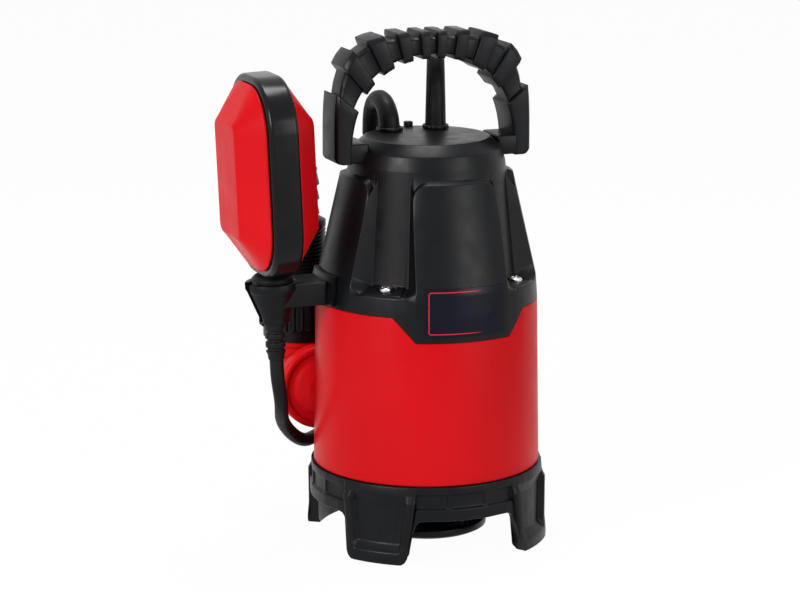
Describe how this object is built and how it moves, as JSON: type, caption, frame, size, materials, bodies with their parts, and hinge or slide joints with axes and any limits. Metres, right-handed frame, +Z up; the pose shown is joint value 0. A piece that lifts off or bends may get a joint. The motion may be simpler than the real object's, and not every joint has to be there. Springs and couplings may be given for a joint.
{
  "type": "submersible sump pump",
  "caption": "Submersible pump for standing water with an arched handle, a float switch in a side holder, a rising hose outlet and a wound mains lead.",
  "frame": {"origin": "middle of the pump's footprint at floor level, leads left out", "axes": "+Z up along the pump, -Y the front with the plate, -X the side with the float"},
  "size_m": [0.2515, 0.2851, 0.317],
  "materials": {
    "red_plastic": "moulded, satin",
    "black_plastic": "fine grain",
    "glossy_black": "glossy",
    "black_rubber": "smooth",
    "dark_plate": "smooth film",
    "steel": "bright",
    "brass": "bright",
    "copper": "lacquered wire",
    "core_steel": "stacked sheets",
    "white_plastic": "plain"
  },
  "bodies": {
    "housing": {"pump_base": "black_plastic", "suction_dish": "black_plastic", "outer_casing": "red_plastic", "top_cover": "black_plastic", "carry_handle": "black_plastic", "rating_plate": "dark_plate", "cover_screw_1": "steel", "cover_screw_2": "steel", "cover_screw_3": "steel", "cover_screw_4": "steel", "float_gland_nut": "black_plastic", "mains_gland_nut": "black_plastic", "hose_tail": "black_plastic", "hose_tail_gasket": "black_rubber", "wear_plate": "black_plastic", "pump_chamber": "red_plastic", "seal_plate": "black_plastic", "shaft_seal": "black_rubber", "motor_can": "steel", "lower_bearing": "steel", "bearing_carrier": "white_plastic", "stator_core": "core_steel", "winding_bottom": "copper", "winding_top": "copper", "upper_bearing": "steel", "motor_end_plate": "white_plastic", "run_capacitor": "white_plastic", "terminal_block": "white_plastic", "jacket_plate": "black_plastic", "jacket_o_ring": "black_rubber", "float_holder": "black_plastic", "float_lead": "black_rubber", "float_lead_boot": "black_rubber", "mains_lead_boot": "black_rubber", "mains_lead_run": "black_rubber", "mains_lead_coil": "black_rubber", "coil_tie": "black_rubber", "mains_plug": "black_rubber", "plug_pin_1": "brass", "plug_pin_2": "brass"},
    "rotor": {"rotor_shaft": "steel", "rotor_core": "core_steel", "impeller": "white_plastic", "impeller_nut": "steel"},
    "coupling_nut": {"coupling_nut": "black_plastic"},
    "float": {"float_shell_outer": "red_plastic", "float_shell_inner": "red_plastic", "float_band": "glossy_black", "float_neck": "black_rubber", "switch_housing": "white_plastic", "float_ballast": "core_steel"},
    "switch_ball": {"switch_ball": "steel"}
  },
  "joints": [
    {"name": "rotor_spin", "type": "hinge", "parent": "housing", "child": "rotor", "pos_m": [0.02821, -0.01676, 0.1], "axis": [0, 0, 1], "continuous": true},
    {"name": "coupling_turn", "type": "hinge", "parent": "housing", "child": "coupling_nut", "pos_m": [-0.02779, 0.06324, 0.128], "axis": [0, 0, 1], "continuous": true},
    {"name": "float_lift", "type": "slide", "parent": "housing", "child": "float", "axis": [-0.0436, 0, 0.999], "range_m": [0, 0.045]},
    {"name": "switch_ball_run", "type": "slide", "parent": "float", "child": "switch_ball", "axis": [-0.0436, 0, 0.999], "range_m": [0, 0.015]}
  ]
}
